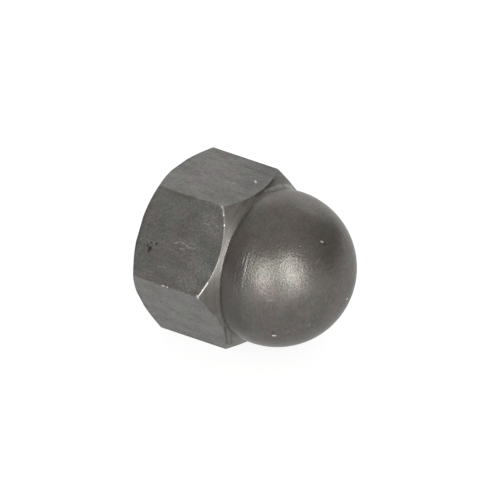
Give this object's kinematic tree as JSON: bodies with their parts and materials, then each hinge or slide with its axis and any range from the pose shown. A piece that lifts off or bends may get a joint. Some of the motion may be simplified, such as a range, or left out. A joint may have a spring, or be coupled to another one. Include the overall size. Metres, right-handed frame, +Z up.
{
  "type": "steering wheel nut",
  "caption": "High domed cap nut: a hexagon with chamfered corners, a ball-shaped dome closing one end and a blind tapped hole in the other.",
  "frame": {"origin": "centre of the bearing face, on the thread's axis", "axes": "+X runs along the thread's axis from the bearing face to the top of the dome; the nut lies on one flat of its hexagon, so +Z is up, square to the top flat, and two corners of the hexagon point along +Y and -Y"},
  "size_m": [0.0327, 0.031, 0.027],
  "materials": {
    "steel": "plain dark machined steel with drawn flats and a turned dome"
  },
  "bodies": {
    "root": {"cap_nut": "steel"}
  },
  "joints": []
}
